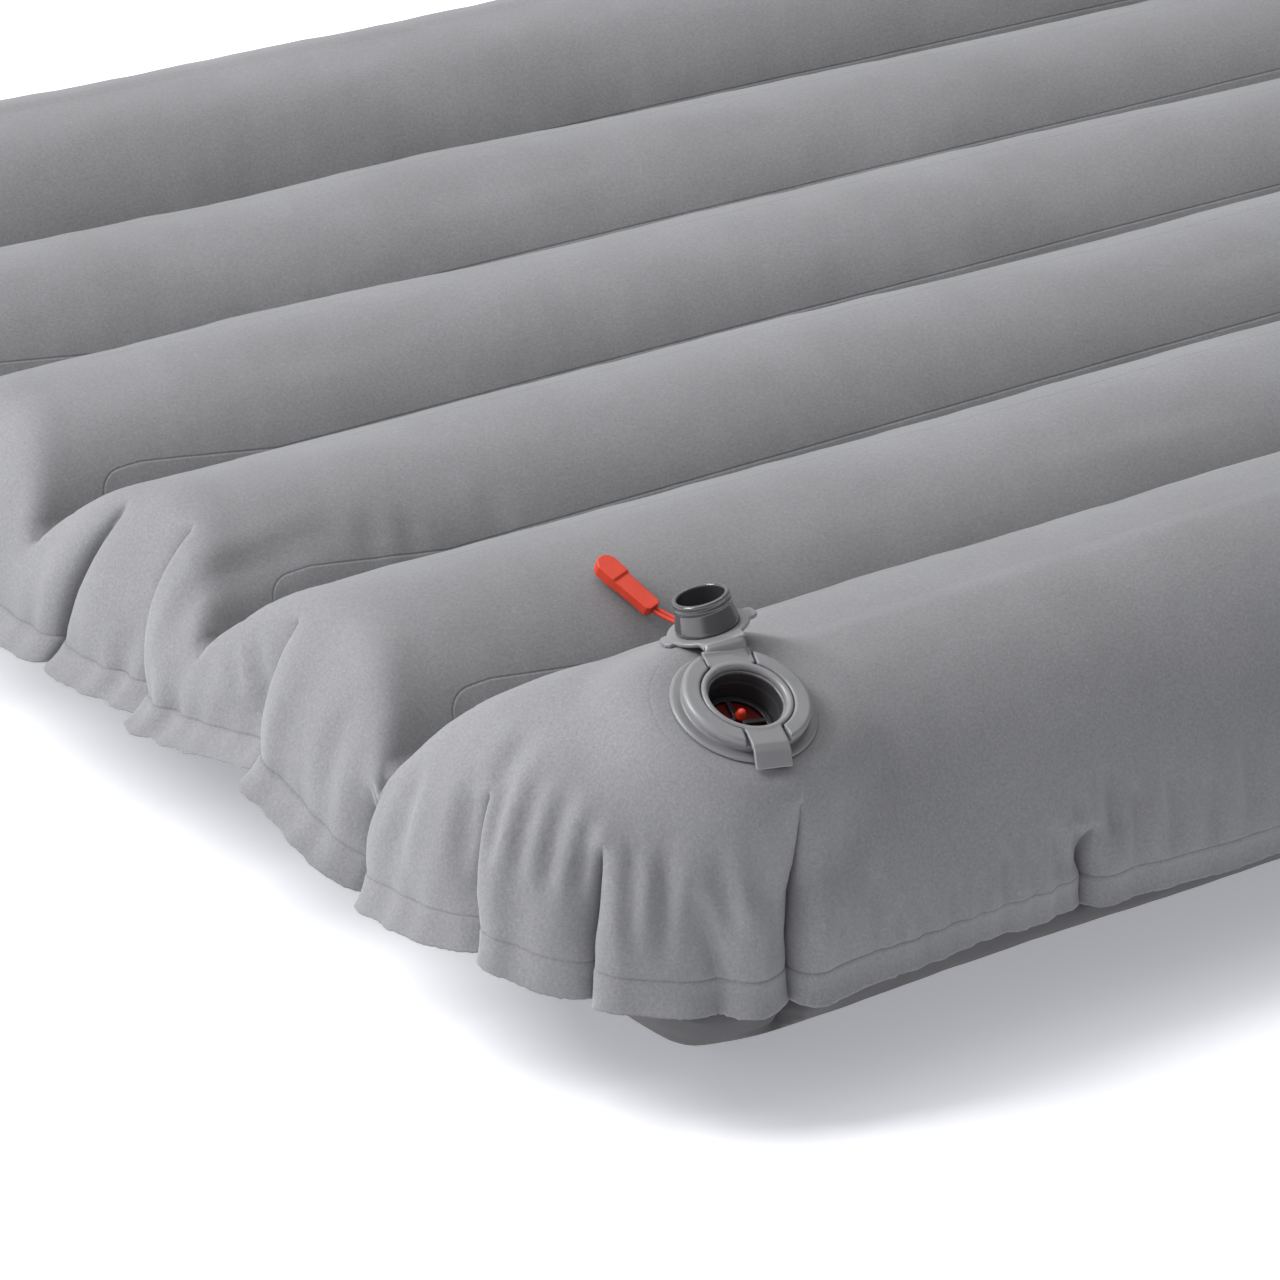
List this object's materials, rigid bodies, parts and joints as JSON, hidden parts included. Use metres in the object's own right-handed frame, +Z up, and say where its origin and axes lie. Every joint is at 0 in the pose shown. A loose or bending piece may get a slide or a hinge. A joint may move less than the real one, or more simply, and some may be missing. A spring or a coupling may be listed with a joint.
{
  "type": "inflatable sleeping pad",
  "caption": "Inflatable sleeping pad with lengthwise air tubes, a flat welded margin and a two-stage valve with a hinged cap and a corded pull.",
  "frame": {"origin": "centre of the footprint on the ground, under the middle of the inflated pad", "axes": "+X along the pad from the valve end to the foot, +Y across the pad away from the valve, +Z up"},
  "size_m": [1.852, 0.6214, 0.1348],
  "materials": {
    "top_fabric": "matte laminated weave",
    "bottom_fabric": "matte laminated weave",
    "rib_film": "satin film",
    "valve_grey": "satin soft moulding",
    "plug_grey": "gloss",
    "throat_dark": "satin",
    "seal_black": "satin",
    "flap_red": "satin",
    "pull_orange": "satin moulded",
    "cord_orange": "braided"
  },
  "bodies": {
    "pad": {"top_sheet": "top_fabric", "bottom_sheet": "bottom_fabric", "rib_1": "rib_film", "rib_2": "rib_film", "rib_3": "rib_film", "rib_4": "rib_film", "rib_5": "rib_film", "valve_patch": "rib_film", "valve_base": "valve_grey"},
    "insert": {"valve_insert": "valve_grey", "seal_ring": "seal_black", "check_seat": "throat_dark", "strap_ring": "valve_grey", "pull_cord_a": "cord_orange", "pull_cord_b": "cord_orange", "pull_grip": "pull_orange"},
    "flap": {"check_flap": "flap_red"},
    "cap": {"cap_disc": "valve_grey", "cap_plug": "plug_grey"}
  },
  "joints": [
    {"name": "insert_lift", "type": "slide", "parent": "pad", "child": "insert", "axis": [0, -0.4067, 0.9135], "range_m": [0, 0.012]},
    {"name": "flap_open", "type": "slide", "parent": "insert", "child": "flap", "axis": [0, 0.4067, -0.9135], "range_m": [0, 0.0015], "stiffness_N_per_m": 40},
    {"name": "cap_hinge", "type": "hinge", "parent": "insert", "child": "cap", "pos_m": [-0.83847, -0.255, 0.12404], "axis": [0.967, -0.2481, 0.0576], "range_deg": [0, 209.1]}
  ]
}
